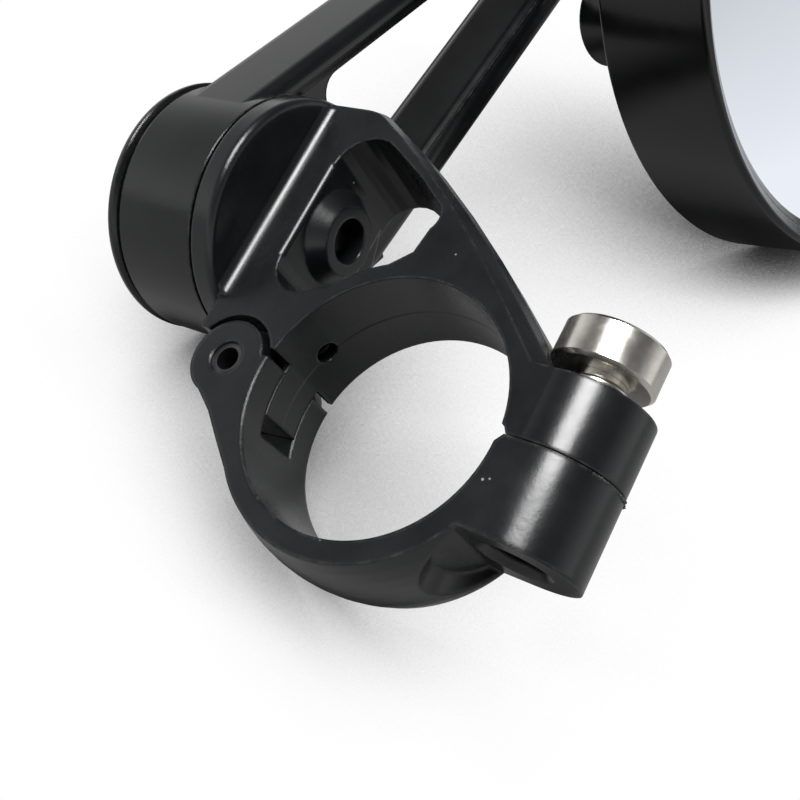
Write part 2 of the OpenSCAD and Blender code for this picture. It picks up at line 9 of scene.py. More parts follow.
import bmesh
import bpy
from mathutils import Matrix, Vector


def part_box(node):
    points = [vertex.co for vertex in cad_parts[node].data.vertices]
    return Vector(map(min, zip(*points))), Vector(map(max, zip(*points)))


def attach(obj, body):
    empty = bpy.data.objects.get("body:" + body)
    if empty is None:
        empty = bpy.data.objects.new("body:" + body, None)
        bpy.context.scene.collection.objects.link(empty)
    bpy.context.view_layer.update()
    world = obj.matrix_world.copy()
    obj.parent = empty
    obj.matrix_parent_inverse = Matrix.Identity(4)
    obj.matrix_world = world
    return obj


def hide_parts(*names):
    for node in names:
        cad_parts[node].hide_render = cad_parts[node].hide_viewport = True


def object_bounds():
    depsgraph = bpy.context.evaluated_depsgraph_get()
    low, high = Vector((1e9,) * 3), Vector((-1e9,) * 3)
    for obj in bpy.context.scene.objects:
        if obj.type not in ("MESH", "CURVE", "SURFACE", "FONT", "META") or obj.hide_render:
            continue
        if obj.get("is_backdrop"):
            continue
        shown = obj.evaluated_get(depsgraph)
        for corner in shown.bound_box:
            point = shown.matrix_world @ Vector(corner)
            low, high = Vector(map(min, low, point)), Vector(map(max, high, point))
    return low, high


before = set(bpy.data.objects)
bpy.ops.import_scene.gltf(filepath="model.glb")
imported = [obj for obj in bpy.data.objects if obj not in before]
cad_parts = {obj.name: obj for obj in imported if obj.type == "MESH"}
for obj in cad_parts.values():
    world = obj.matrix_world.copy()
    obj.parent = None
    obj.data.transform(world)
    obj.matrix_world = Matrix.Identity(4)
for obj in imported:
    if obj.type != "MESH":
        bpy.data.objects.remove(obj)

LOG = logging.getLogger("bar_end_mirror")
MM = 0.001
Colour = tuple[float, float, float, float]


class Sub(enum.Enum):
    """Bodies of the frame that the new pieces ride on."""

    JAW = "jaw"
    SCREW = "screw"


@dataclass(frozen=True)
class Layer:
    """Noise on object coordinates.

    Attributes:
        scale: cells a metre.
        detail: octaves.
        rough: weight of the finer octaves.
    """

    scale: float
    detail: float = 3.0
    rough: float = 0.5


@dataclass(frozen=True)
class Span:
    """A stretch of values, and what its two ends become.

    Attributes:
        low: start of the stretch.
        high: end of the stretch.
        out_low: a number or a socket, what low becomes.
        out_high: a number or a socket, what high becomes.
    """

    low: float
    high: float
    out_low: object = 0.0
    out_high: object = 1.0


class Nodes:
    """A node tree, built a node at a time."""

    MIX_INPUTS: ClassVar[tuple[int, ...]] = (0, 6, 7)
    MIX_OUTPUT: ClassVar[int] = 2

    def __init__(self, tree: bpy.types.NodeTree) -> None:
        """Empties the tree.

        Args:
            tree: the tree that takes the nodes.
        """
        self.tree = tree
        self.tree.nodes.clear()

    def fill(self, target: bpy.types.NodeSocket, value: object) -> None:
        """Sets an input, or joins a socket to it.

        Args:
            target: the input.
            value: a value or an output socket.
        """
        if isinstance(value, bpy.types.NodeSocket):
            self.tree.links.new(value, target)
        else:
            target.default_value = value

    def add(self, kind: str, **sockets: object) -> bpy.types.Node:
        """Adds a node and fills its sockets.

        Args:
            kind: the node's type without its ShaderNode prefix.
            **sockets: values or output sockets, by input name with underscores for blanks.

        Returns:
            The new node.
        """
        node = self.tree.nodes.new("ShaderNode" + kind)
        for key, value in sockets.items():
            self.fill(node.inputs[key.replace("_", " ")], value)
        return node

    def ramp(self, value: bpy.types.NodeSocket, span: Span) -> bpy.types.NodeSocket:
        """Maps a stretch of a value on to another, clamped.

        Args:
            value: what is mapped.
            span: the stretch and what it becomes.

        Returns:
            The mapped value.
        """
        node = self.add("MapRange", Value=value, From_Min=span.low, From_Max=span.high,
                        To_Min=span.out_low, To_Max=span.out_high)
        return node.outputs["Result"]

    def pick(self, switch: bpy.types.NodeSocket, otherwise: object,
             when: object) -> bpy.types.NodeSocket:
        """Chooses a level by a switch.

        Args:
            switch: an output that is 0 or 1.
            otherwise: the level at 0, a number or a socket.
            when: the level at 1, a number or a socket.

        Returns:
            The chosen level.
        """
        return self.ramp(switch, Span(0.0, 1.0, otherwise, when))

    def math(self, kind: str, *values: object) -> bpy.types.NodeSocket:
        """Adds a Math node.

        Args:
            kind: its operation.
            *values: numbers or sockets.

        Returns:
            The result.
        """
        node = self.add("Math")
        node.operation = kind
        for target, value in zip(node.inputs, values):
            self.fill(target, value)
        return node.outputs[0]

    def measure(self, kind: str, *vectors: object) -> bpy.types.NodeSocket:
        """Adds a Vector Math node whose result is a number.

        Args:
            kind: its operation.
            *vectors: vectors or sockets.

        Returns:
            The result.
        """
        node = self.add("VectorMath")
        node.operation = kind
        for target, value in zip(node.inputs, vectors):
            self.fill(target, value)
        return node.outputs["Value"]

    def mix(self, share: object, first: object, second: object) -> bpy.types.NodeSocket:
        """Mixes two colours.

        Args:
            share: how much of the second shows.
            first: a colour or a socket.
            second: a colour or a socket.

        Returns:
            The mixed colour.
        """
        node = self.add("Mix")
        node.data_type = "RGBA"
        for index, value in zip(self.MIX_INPUTS, (share, first, second)):
            self.fill(node.inputs[index], value)
        return node.outputs[self.MIX_OUTPUT]


class Shader(Nodes):
    """A material's node tree."""

    def __init__(self, name: str) -> None:
        """Starts a material with an empty tree.

        Args:
            name: the material's name.
        """
        self.material = bpy.data.materials.new(name)
        self.material.use_nodes = True
        super().__init__(self.material.node_tree)

    def place(self) -> bpy.types.NodeSocket:
        """Adds the object coordinates.

        Returns:
            Their socket.
        """
        return self.add("TexCoord").outputs["Object"]

    def noise(self, layer: Layer) -> bpy.types.NodeSocket:
        """Adds noise on object coordinates.

        Args:
            layer: its scale, octaves and weight.

        Returns:
            The noise's value.
        """
        node = self.add("TexNoise", Vector=self.place(), Scale=layer.scale, Detail=layer.detail,
                        Roughness=layer.rough)
        return node.outputs["Fac"]

    def finish(self, surface: bpy.types.NodeSocket) -> bpy.types.Material:
        """Joins the surface to the output.

        Args:
            surface: a shader's output.

        Returns:
            The material.
        """
        self.add("OutputMaterial", Surface=surface)
        return self.material


def grey(level: float, warm: float = 0.0) -> Colour:
    """A grey with a touch of warmth.

    Args:
        level: the grey.
        warm: how far red rises and blue falls, as a share.

    Returns:
        The colour.
    """
    return (level * (1 + warm), level, level * (1 - warm), 1.0)


@dataclass(frozen=True)
class BlackMetal:
    """Black coated casting: fine grain, soft edges, rubbed corners, pale dust specks.

    Attributes:
        name: the material's name.
        level: how light the black is.
        rough: roughness in the middle of its clouds.
        ior: how strongly it mirrors.
        grain: strength of the fine grain.
        skin: strength of the wavy cast skin.
        edge: radius of the softened edges, in millimetres.
        edge_wear: how far corners are rubbed.
        specks: how bright the dust is.
        bore_step: depth of the step in the bore, in metres, or 0 for none.
    """

    name: str
    level: float = 0.006
    rough: float = 0.25
    ior: float = 1.47
    grain: float = 0.22
    skin: float = 0.32
    edge: float = 0.35
    edge_wear: float = 0.35
    specks: float = 1.0
    bore_step: float = 0.0

    CLOUD: ClassVar[Layer] = Layer(180.0, 4.0, 0.6)
    CLOUD_COLOUR: ClassVar[tuple[float, float]] = (0.3, 0.7)
    CLOUD_GLOSS: ClassVar[tuple[float, float]] = (0.25, 0.75)
    DARKER: ClassVar[float] = 0.8
    LIGHTER: ClassVar[float] = 1.25
    SMOOTHER: ClassVar[float] = 0.05
    ROUGHER: ClassVar[float] = 0.06
    TINT: ClassVar[float] = -0.12
    GRAIN: ClassVar[Layer] = Layer(5200.0, 3.0, 0.65)
    GRAIN_DEPTH: ClassVar[float] = 0.02 * MM
    SKIN: ClassVar[Layer] = Layer(1500.0, 3.0, 0.6)
    SKIN_DEPTH: ClassVar[float] = 0.03 * MM
    EDGE_SAMPLES: ClassVar[int] = 6
    CORNER: ClassVar[Span] = Span(0.995, 0.8)
    PATCH: ClassVar[Layer] = Layer(900.0, 4.0, 0.7)
    PATCH_SHOWN: ClassVar[Span] = Span(0.45, 0.72)
    BARE: ClassVar[Colour] = grey(0.16, 0.05)
    SPECK_CELLS: ClassVar[float] = 420.0
    SPECK_DOT: ClassVar[Span] = Span(0.03, 0.055, 1.0, 0.0)
    SPECK_PLACE: ClassVar[Layer] = Layer(260.0, 2.0)
    SPECK_FROM: ClassVar[tuple[float, float]] = (0.6, 0.64)
    SPECK_SHARE: ClassVar[float] = 0.5
    DUST: ClassVar[Colour] = grey(0.45)
    BORE_EDGE: ClassVar[Span] = Span(11.25 * MM, 11.35 * MM, 1.0, 0.0)
    BORE_STEP: ClassVar[Span] = Span(0.15 * MM, 0.4 * MM)

    def build(self) -> bpy.types.Material:
        """Builds the finish.

        Returns:
            The material.
        """
        shader = Shader(self.name)
        cloud = shader.noise(self.CLOUD)
        soft = shader.add("Bevel", Radius=self.edge * MM)
        soft.samples = self.EDGE_SAMPLES
        base = shader.mix(shader.ramp(cloud, Span(*self.CLOUD_COLOUR)),
                          grey(self.level * self.DARKER, self.TINT),
                          grey(self.level * self.LIGHTER, self.TINT))
        worn = shader.mix(self.wear(shader, soft.outputs["Normal"]), base, self.BARE)
        colour = shader.mix(self.speck(shader), worn, self.DUST)
        gloss = Span(*self.CLOUD_GLOSS, self.rough - self.SMOOTHER, self.rough + self.ROUGHER)
        skin = shader.add("Bump", Height=shader.noise(self.SKIN), Normal=soft.outputs["Normal"],
                          Strength=self.skin, Distance=self.SKIN_DEPTH)
        bump = shader.add("Bump", Height=shader.noise(self.GRAIN), Normal=skin.outputs["Normal"],
                          Strength=self.grain, Distance=self.GRAIN_DEPTH)
        normal = bump.outputs["Normal"]
        if self.bore_step:
            normal = self.stepped(shader, normal)
        body = shader.add("BsdfPrincipled", Base_Color=colour, Normal=normal, IOR=self.ior,
                          Roughness=shader.ramp(cloud, gloss))
        return shader.finish(body.outputs["BSDF"])

    def wear(self, shader: Shader, soft: bpy.types.NodeSocket) -> bpy.types.NodeSocket:
        """Finds the rubbed corners, where the softened normal leaves the face's own.

        Args:
            shader: the tree that takes the nodes.
            soft: the softened normal.

        Returns:
            The share of bare metal.
        """
        own = shader.add("NewGeometry").outputs["True Normal"]
        corner = shader.ramp(shader.measure("DOT_PRODUCT", soft, own), self.CORNER)
        patchy = shader.ramp(shader.noise(self.PATCH), self.PATCH_SHOWN)
        return shader.math("MULTIPLY", shader.math("MULTIPLY", corner, patchy), self.edge_wear)

    def speck(self, shader: Shader) -> bpy.types.NodeSocket:
        """Scatters specks of dust: small dots, in the places that a noise chooses.

        Args:
            shader: the tree that takes the nodes.

        Returns:
            The share of dust.
        """
        cells = shader.add("TexVoronoi", Vector=shader.place(), Scale=self.SPECK_CELLS,
                           Randomness=1.0)
        dot = shader.ramp(cells.outputs["Distance"], self.SPECK_DOT)
        chosen = shader.ramp(shader.noise(self.SPECK_PLACE),
                             Span(*self.SPECK_FROM, 0.0, self.SPECK_SHARE * self.specks))
        return shader.math("MULTIPLY", dot, chosen)

    def stepped(self, shader: Shader, normal: bpy.types.NodeSocket) -> bpy.types.NodeSocket:
        """Adds the faint step that the boring tool left round the middle of the bore.

        Args:
            shader: the tree that takes the nodes.
            normal: the normal that the step tilts.

        Returns:
            The tilted normal.
        """
        parts = shader.add("SeparateXYZ", Vector=shader.place()).outputs
        across = shader.add("CombineXYZ", Y=parts["Y"], Z=parts["Z"]).outputs[0]
        inside = shader.ramp(shader.measure("LENGTH", across), self.BORE_EDGE)
        step = shader.ramp(parts["X"], self.BORE_STEP)
        tilt = shader.add("Bump", Height=shader.math("MULTIPLY", inside, step), Normal=normal,
                          Strength=1.0, Distance=self.bore_step)
        return tilt.outputs["Normal"]


@dataclass(frozen=True)
class BrightMetal:
    """Turned or plated metal: fine turning marks round the part and slight blotches.

    Attributes:
        name: the material's name.
        colour: its colour.
        rough: roughness at its smoothest.
    """

    name: str
    colour: Colour = (0.76, 0.73, 0.67, 1.0)
    rough: float = 0.2

    CLOUD: ClassVar[Layer] = Layer(420.0, 4.0, 0.6)
    CLOUD_COLOUR: ClassVar[Span] = Span(0.35, 0.65)
    CLOUD_GLOSS: ClassVar[tuple[float, float]] = (0.3, 0.7)
    ROUGHER: ClassVar[float] = 0.1
    BLOTCH: ClassVar[float] = 0.12
    SQUEEZE: ClassVar[tuple[float, float, float]] = (1.0, 1.0, 14.0)
    MARK_SCALE: ClassVar[float] = 900.0
    MARK_DETAIL: ClassVar[float] = 3.0
    MARK_STRENGTH: ClassVar[float] = 0.12
    MARK_DEPTH: ClassVar[float] = 0.01 * MM

    def build(self) -> bpy.types.Material:
        """Builds the finish.

        Returns:
            The material.
        """
        shader = Shader(self.name)
        cloud = shader.noise(self.CLOUD)
        squeezed = shader.add("Mapping", Vector=shader.place(), Scale=self.SQUEEZE)
        lines = shader.add("TexNoise", Vector=squeezed.outputs["Vector"], Scale=self.MARK_SCALE,
                           Detail=self.MARK_DETAIL)
        dark = tuple(c * (1 - 2 * self.BLOTCH) for c in self.colour[:3]) + (1.0,)
        colour = shader.mix(shader.ramp(cloud, self.CLOUD_COLOUR), dark, self.colour)
        gloss = Span(*self.CLOUD_GLOSS, self.rough, self.rough + self.ROUGHER)
        bump = shader.add("Bump", Height=lines.outputs["Fac"], Strength=self.MARK_STRENGTH,
                          Distance=self.MARK_DEPTH)
        body = shader.add("BsdfPrincipled", Base_Color=colour, Metallic=1.0,
                          Roughness=shader.ramp(cloud, gloss), Normal=bump.outputs["Normal"])
        return shader.finish(body.outputs["BSDF"])


@dataclass(frozen=True)
class Moulded:
    """Plastic, rubber or foam: a plain colour with a faint cloud and a fine grain.

    Attributes:
        name: the material's name.
        level: how light it is.
        warm: its warmth.
    """

    name: str
    level: float
    warm: float = 0.0

    ROUGH: ClassVar[float] = 0.5
    CLOUD: ClassVar[Layer] = Layer(300.0)
    CLOUD_COLOUR: ClassVar[Span] = Span(0.3, 0.7)
    DARKER: ClassVar[float] = 0.85
    LIGHTER: ClassVar[float] = 1.1
    GRAIN: ClassVar[Layer] = Layer(4000.0)
    GRAIN_STRENGTH: ClassVar[float] = 0.15
    GRAIN_DEPTH: ClassVar[float] = 0.02 * MM

    def build(self) -> bpy.types.Material:
        """Builds the finish.

        Returns:
            The material.
        """
        shader = Shader(self.name)
        colour = shader.mix(shader.ramp(shader.noise(self.CLOUD), self.CLOUD_COLOUR),
                            grey(self.level * self.DARKER, self.warm),
                            grey(self.level * self.LIGHTER, self.warm))
        bump = shader.add("Bump", Height=shader.noise(self.GRAIN), Strength=self.GRAIN_STRENGTH,
                          Distance=self.GRAIN_DEPTH)
        body = shader.add("BsdfPrincipled", Base_Color=colour, Roughness=self.ROUGH,
                          Normal=bump.outputs["Normal"])
        return shader.finish(body.outputs["BSDF"])


@dataclass(frozen=True)
class Silvered:
    """Mirror glass: a bright silvered face with a faint blue cast and a slight haze.

    Attributes:
        name: the material's name.
    """

    name: str

    HAZE: ClassVar[Layer] = Layer(60.0)
    HAZE_GLOSS: ClassVar[Span] = Span(0.3, 0.7, 0.03, 0.06)
    CAST: ClassVar[Layer] = Layer(25.0, 2.0)
    CAST_SHARE: ClassVar[Span] = Span(0.3, 0.7)
    BLUER: ClassVar[Colour] = (0.80, 0.84, 0.91, 1.0)
    PALER: ClassVar[Colour] = (0.84, 0.875, 0.94, 1.0)

    def build(self) -> bpy.types.Material:
        """Builds the finish.

        Returns:
            The material.
        """
        shader = Shader(self.name)
        haze = shader.ramp(shader.noise(self.HAZE), self.HAZE_GLOSS)
        cast = shader.mix(shader.ramp(shader.noise(self.CAST), self.CAST_SHARE), self.BLUER,
                          self.PALER)
        body = shader.add("BsdfPrincipled", Base_Color=cast, Metallic=1.0, Roughness=haze)
        return shader.finish(body.outputs["BSDF"])


def new_piece(name: str, mesh: bmesh.types.BMesh, finish: bpy.types.Material,
              body: Sub) -> bpy.types.Object:
    """Turns a bmesh into a finished object that rides on a body.

    Args:
        name: the piece's name.
        mesh: its shape, in the row frame.
        finish: its material.
        body: the body that it moves with.

    Returns:
        The object.
    """
    data = bpy.data.meshes.new(name)
    bmesh.ops.recalc_face_normals(mesh, faces=mesh.faces)
    mesh.to_mesh(data)
    mesh.free()
    data.materials.append(finish)
    obj = bpy.data.objects.new(name, data)
    bpy.context.scene.collection.objects.link(obj)
    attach(obj, body.value)
    LOG.info("made %s with %d faces", name, len(data.polygons))
    return obj


def profile(mesh: bmesh.types.BMesh, points: list[tuple[float, float]]) -> list:
    """Draws an open outline of radius and height.

    Args:
        mesh: the bmesh that takes it.
        points: radius and height of each corner.

    Returns:
        The outline's vertices and edges.
    """
    verts = [mesh.verts.new((r, 0.0, z)) for r, z in points]
    edges = [mesh.edges.new(pair) for pair in zip(verts, verts[1:])]
    return verts + edges


def rod(mesh: bmesh.types.BMesh, radii: tuple[float, float], low: float, high: float) -> None:
    """Adds a closed round rod on the Z axis.

    Args:
        mesh: the bmesh that takes it.
        radii: its radius at the lower and at the upper end.
        low: height of its lower end.
        high: height of its upper end.
    """
    verts = bmesh.ops.create_cone(mesh, cap_ends=True, segments=48, radius1=radii[0],
                                  radius2=radii[1], depth=high - low)["verts"]
    bmesh.ops.translate(mesh, verts=verts, vec=(0, 0, (low + high) / 2))


@dataclass
class ThreadedScrew:
    """The clamp's socket screw with its thread, in place of the plain solid.

    Attributes:
        pitch: rise of the thread in one turn.
        crest_r: the thread's outer radius.
        depth: the thread's depth.
        crest_from: where the crest starts, as a share of the pitch.
        crest_to: where the crest ends, as a share of the pitch.
        first_turn: gap between the head and the thread's end.
        steps: steps in a turn of the thread.
        merge: distance at which two turns' shared points become one.
        core_sunk: how far the core reaches into the thread's root.
        tip_l: length of the chamfered tip.
        tip_in: how much narrower the tip's end is than the root.
        chamfer: the head's chamfer.
        head_h: the head's height in the solid.
        seat_clear: gap that keeps the head's flat off the boss.
        throat_r: inner radius of the head's underside.
        throat_up: how far the underside rises towards the shank.
        head_steps: steps round the head.
        socket: the socket's width across its flats.
        socket_rim: radius of the flat top's inner edge, as a share of that width.
        socket_depth: the socket's depth.
        sharp: angle above which an edge stays sharp.
    """

    pitch: float = 0.8 * MM
    crest_r: float = 2.5 * MM
    depth: float = 0.42 * MM
    crest_from: float = 0.42
    crest_to: float = 0.56
    first_turn: float = 0.1 * MM
    steps: int = 40
    merge: float = 0.004 * MM
    core_sunk: float = 0.01 * MM
    tip_l: float = 0.5 * MM
    tip_in: float = 0.35 * MM
    chamfer: float = 0.3 * MM
    head_h: float = 3.5 * MM
    seat_clear: float = 0.03 * MM
    throat_r: float = 1.6 * MM
    throat_up: float = 0.02 * MM
    head_steps: int = 72
    socket: float = 3.0 * MM
    socket_rim: float = 0.72
    socket_depth: float = 2.0 * MM
    sharp: float = math.radians(32)

    def build(self, finish: bpy.types.Material) -> None:
        """Makes the head and the threaded shank.

        Args:
            finish: their material.
        """
        low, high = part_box("clamp_screw")
        centre = (low + high) / 2
        seat = high.z - self.head_h + self.seat_clear
        place = Matrix.Translation((centre.x, centre.y, 0.0))
        for name, mesh in (("screw_head", self.head((high.x - low.x) / 2, seat, high.z)),
                           ("screw_thread", self.shank(low.z, seat))):
            mesh.transform(place)
            obj = new_piece(name, mesh, finish, Sub.SCREW)
            for face in obj.data.polygons:
                face.use_smooth = True
            obj.data.set_sharp_from_angle(angle=self.sharp)
        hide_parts("clamp_screw")

    def head(self, radius: float, seat: float, top: float) -> bmesh.types.BMesh:
        """Turns the head and cuts its socket.

        Args:
            radius: the head's radius.
            seat: height of its underside.
            top: height of its top.

        Returns:
            The head's bmesh, centred on the Z axis.
        """
        mesh = bmesh.new()
        geom = profile(mesh, [
            (self.throat_r, seat + self.throat_up), (radius - self.chamfer, seat),
            (radius, seat + self.chamfer), (radius, top - self.chamfer),
            (radius - self.chamfer, top), (self.socket * self.socket_rim, top)])
        bmesh.ops.spin(mesh, geom=geom, cent=(0, 0, 0), axis=(0, 0, 1), dvec=(0, 0, 0),
                       angle=math.tau, steps=self.head_steps, use_merge=True,
                       use_duplicate=False)
        rim = [e for e in mesh.edges if e.is_boundary
               and all(math.isclose(v.co.z, top, abs_tol=self.merge) for v in e.verts)]
        hexagon = bmesh.ops.create_circle(mesh, segments=6, cap_ends=False,
                                          radius=self.socket / 2 / math.cos(math.pi / 6))["verts"]
        bmesh.ops.translate(mesh, verts=hexagon, vec=(0, 0, top))
        edges = list({e for v in hexagon for e in v.link_edges})
        bmesh.ops.bridge_loops(mesh, edges=rim + edges)
        sunk = bmesh.ops.extrude_edge_only(mesh, edges=edges)["geom"]
        verts = [g for g in sunk if isinstance(g, bmesh.types.BMVert)]
        bmesh.ops.translate(mesh, verts=verts, vec=(0, 0, -self.socket_depth))
        floor = [g for g in sunk if isinstance(g, bmesh.types.BMEdge)
                 and all(v in verts for v in g.verts)]
        bmesh.ops.contextual_create(mesh, geom=floor)
        return mesh

    def shank(self, low: float, seat: float) -> bmesh.types.BMesh:
        """Winds the thread with a helical spin, and fills it with a core and a tip.

        Args:
            low: height of the shank's tip.
            seat: height of the head's underside.

        Returns:
            The shank's bmesh, centred on the Z axis.
        """
        mesh = bmesh.new()
        root = self.crest_r - self.depth
        turns = int((seat - low) / self.pitch) - 1
        start = seat - self.first_turn - (turns + 1) * self.pitch
        geom = profile(mesh, [
            (root, start), (self.crest_r, start + self.pitch * self.crest_from),
            (self.crest_r, start + self.pitch * self.crest_to), (root, start + self.pitch)])
        bmesh.ops.spin(mesh, geom=geom, cent=(0, 0, 0), axis=(0, 0, 1),
                       dvec=(0, 0, self.pitch / self.steps), angle=math.tau * turns,
                       steps=turns * self.steps, use_merge=False, use_duplicate=False)
        bmesh.ops.remove_doubles(mesh, verts=mesh.verts, dist=self.merge)
        core = root + self.core_sunk
        rod(mesh, (root - self.tip_in, core), low, low + self.tip_l)
        rod(mesh, (core, core), low + self.tip_l, seat)
        return mesh


@dataclass
class PartingBurr:
    """Ragged flash that the casting left on the jaw's boss, where it meets the body.

    Attributes:
        boss_r: the boss's radius.
        top: height of the flash's upper edge.
        sunk: how far its foot reaches into the boss.
        reach: how far the longest lump stands out.
        depth: the flash's height.
        start: angle at which it starts.
        end: angle at which it ends.
        steps: steps in a whole turn.
        lump_steps: steps that share a lump.
        least: the smallest lump, as a share of the reach.
        ragged: how far a lump's edge varies, as a share of the reach.
        edge_low: lowest place of the outer edge, as a share of the depth.
        edge_spread: how far that place varies.
        seed: seed of the lumps.
    """

    boss_r: float = 5.3 * MM
    top: float = 0.88 * MM
    sunk: float = 0.05 * MM
    reach: float = 0.24 * MM
    depth: float = 0.3 * MM
    start: float = math.radians(-132)
    end: float = math.radians(-50)
    steps: int = 560
    lump_steps: int = 4
    least: float = 0.12
    ragged: float = 0.2
    edge_low: float = 0.55
    edge_spread: float = 0.4
    seed: int = 11

    def build(self, finish: bpy.types.Material) -> None:
        """Draws the flash's foot, and extrudes it out to its edge and back in over it.

        Args:
            finish: its material.
        """
        low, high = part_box("clamp_screw")
        centre = (low + high) / 2
        dice = random.Random(self.seed)
        mesh = bmesh.new()
        bmesh.ops.create_circle(mesh, segments=self.steps, radius=self.boss_r - self.sunk)
        away = [v for v in mesh.verts
                if not self.start < math.atan2(v.co.y, v.co.x) < self.end]
        bmesh.ops.delete(mesh, geom=away, context="VERTS")
        lumps = [dice.random() for _ in range(self.steps)]
        outer, edges = self.extruded(mesh, list(mesh.edges))
        for vert in outer:
            out = vert.co.xy.normalized()
            turn = math.atan2(out.y, out.x) / math.tau
            lump = lumps[int(turn * self.steps) // self.lump_steps]
            share = max(self.least, lump ** 2 + self.ragged * (dice.random() - 0.5))
            vert.co.xy += out * (self.reach * share + self.sunk)
            vert.co.z = self.depth * (self.edge_low + self.edge_spread * dice.random())
        for vert in self.extruded(mesh, edges)[0]:
            vert.co.xy = vert.co.xy.normalized() * (self.boss_r - 2 * self.sunk)
            vert.co.z = self.depth
        bmesh.ops.translate(mesh, verts=mesh.verts,
                            vec=(centre.x, centre.y, self.top - self.depth))
        new_piece("parting_burr", mesh, finish, Sub.JAW)

    def extruded(self, mesh: bmesh.types.BMesh, row: list) -> tuple[list, list]:
        """Extrudes a row of edges in place.

        Args:
            mesh: the flash's bmesh.
            row: the edges.

        Returns:
            The new row's vertices and edges.
        """
        made = bmesh.ops.extrude_edge_only(mesh, edges=row)["geom"]
        verts = [g for g in made if isinstance(g, bmesh.types.BMVert)]
        return verts, [g for g in made if isinstance(g, bmesh.types.BMEdge)
                       and all(v in verts for v in g.verts)]


@dataclass
class Finishes:
    """Every finish, made once, and the CAD nodes that wear each.

    Attributes:
        made: the materials, by name.
    """

    made: dict[str, bpy.types.Material] = field(default_factory=dict)

    WORN_BY: ClassVar[dict[str, tuple[str, ...]]] = {
        "body_coat": ("clamp_body",),
        "jaw_coat": ("clamp_jaw",),
        "arm_coat": ("arm", "end_cap"),
        "head_coat": ("mirror_housing", "socket_cap", "bezel_ring"),
        "plain_steel": ("ball_stud", "stud_washer", "stud_nut", "cap_screws", "thrust_washer",
                        "disc_spring"),
        "dark_steel": ("hinge_pin", "pivot_bolt"),
        "brass": ("pivot_bush",),
        "pale_plastic": ("friction_washer", "ball_seat"),
        "seal_rubber": ("cap_seal",),
        "pad_foam": ("glass_pad",),
        "silvered_glass": ("mirror_glass",),
    }

    def build(self) -> None:
        """Makes the finishes."""
        kinds = (
            BlackMetal("body_coat", bore_step=0.06 * MM),
            BlackMetal("jaw_coat", edge=0.5),
            BlackMetal("burr_metal", level=0.012, edge=0.15, edge_wear=1.0, specks=0.0),
            BlackMetal("arm_coat", level=0.003, rough=0.22, grain=0.1, skin=0.1, edge=0.3,
                       specks=0.5),
            BlackMetal("head_coat", level=0.002, rough=0.2, grain=0.06, skin=0.08, edge=0.3,
                       specks=0.3),
            BrightMetal("nickel"),
            BrightMetal("plain_steel", colour=(0.42, 0.42, 0.43, 1.0), rough=0.3),
            BrightMetal("dark_steel", colour=(0.10, 0.10, 0.105, 1.0), rough=0.35),
            BrightMetal("brass", colour=(0.6, 0.43, 0.19, 1.0), rough=0.25),
            Moulded("pale_plastic", 0.6, 0.05),
            Moulded("seal_rubber", 0.012),
            Moulded("pad_foam", 0.03),
            Silvered("silvered_glass"),
        )
        for kind in kinds:
            self.made[kind.name] = kind.build()

    def dress(self) -> None:
        """Gives each CAD node its finish."""
        for finish, names in self.WORN_BY.items():
            for name in names:
                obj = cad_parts[name]
                obj.data.materials.clear()
                obj.data.materials.append(self.made[finish])


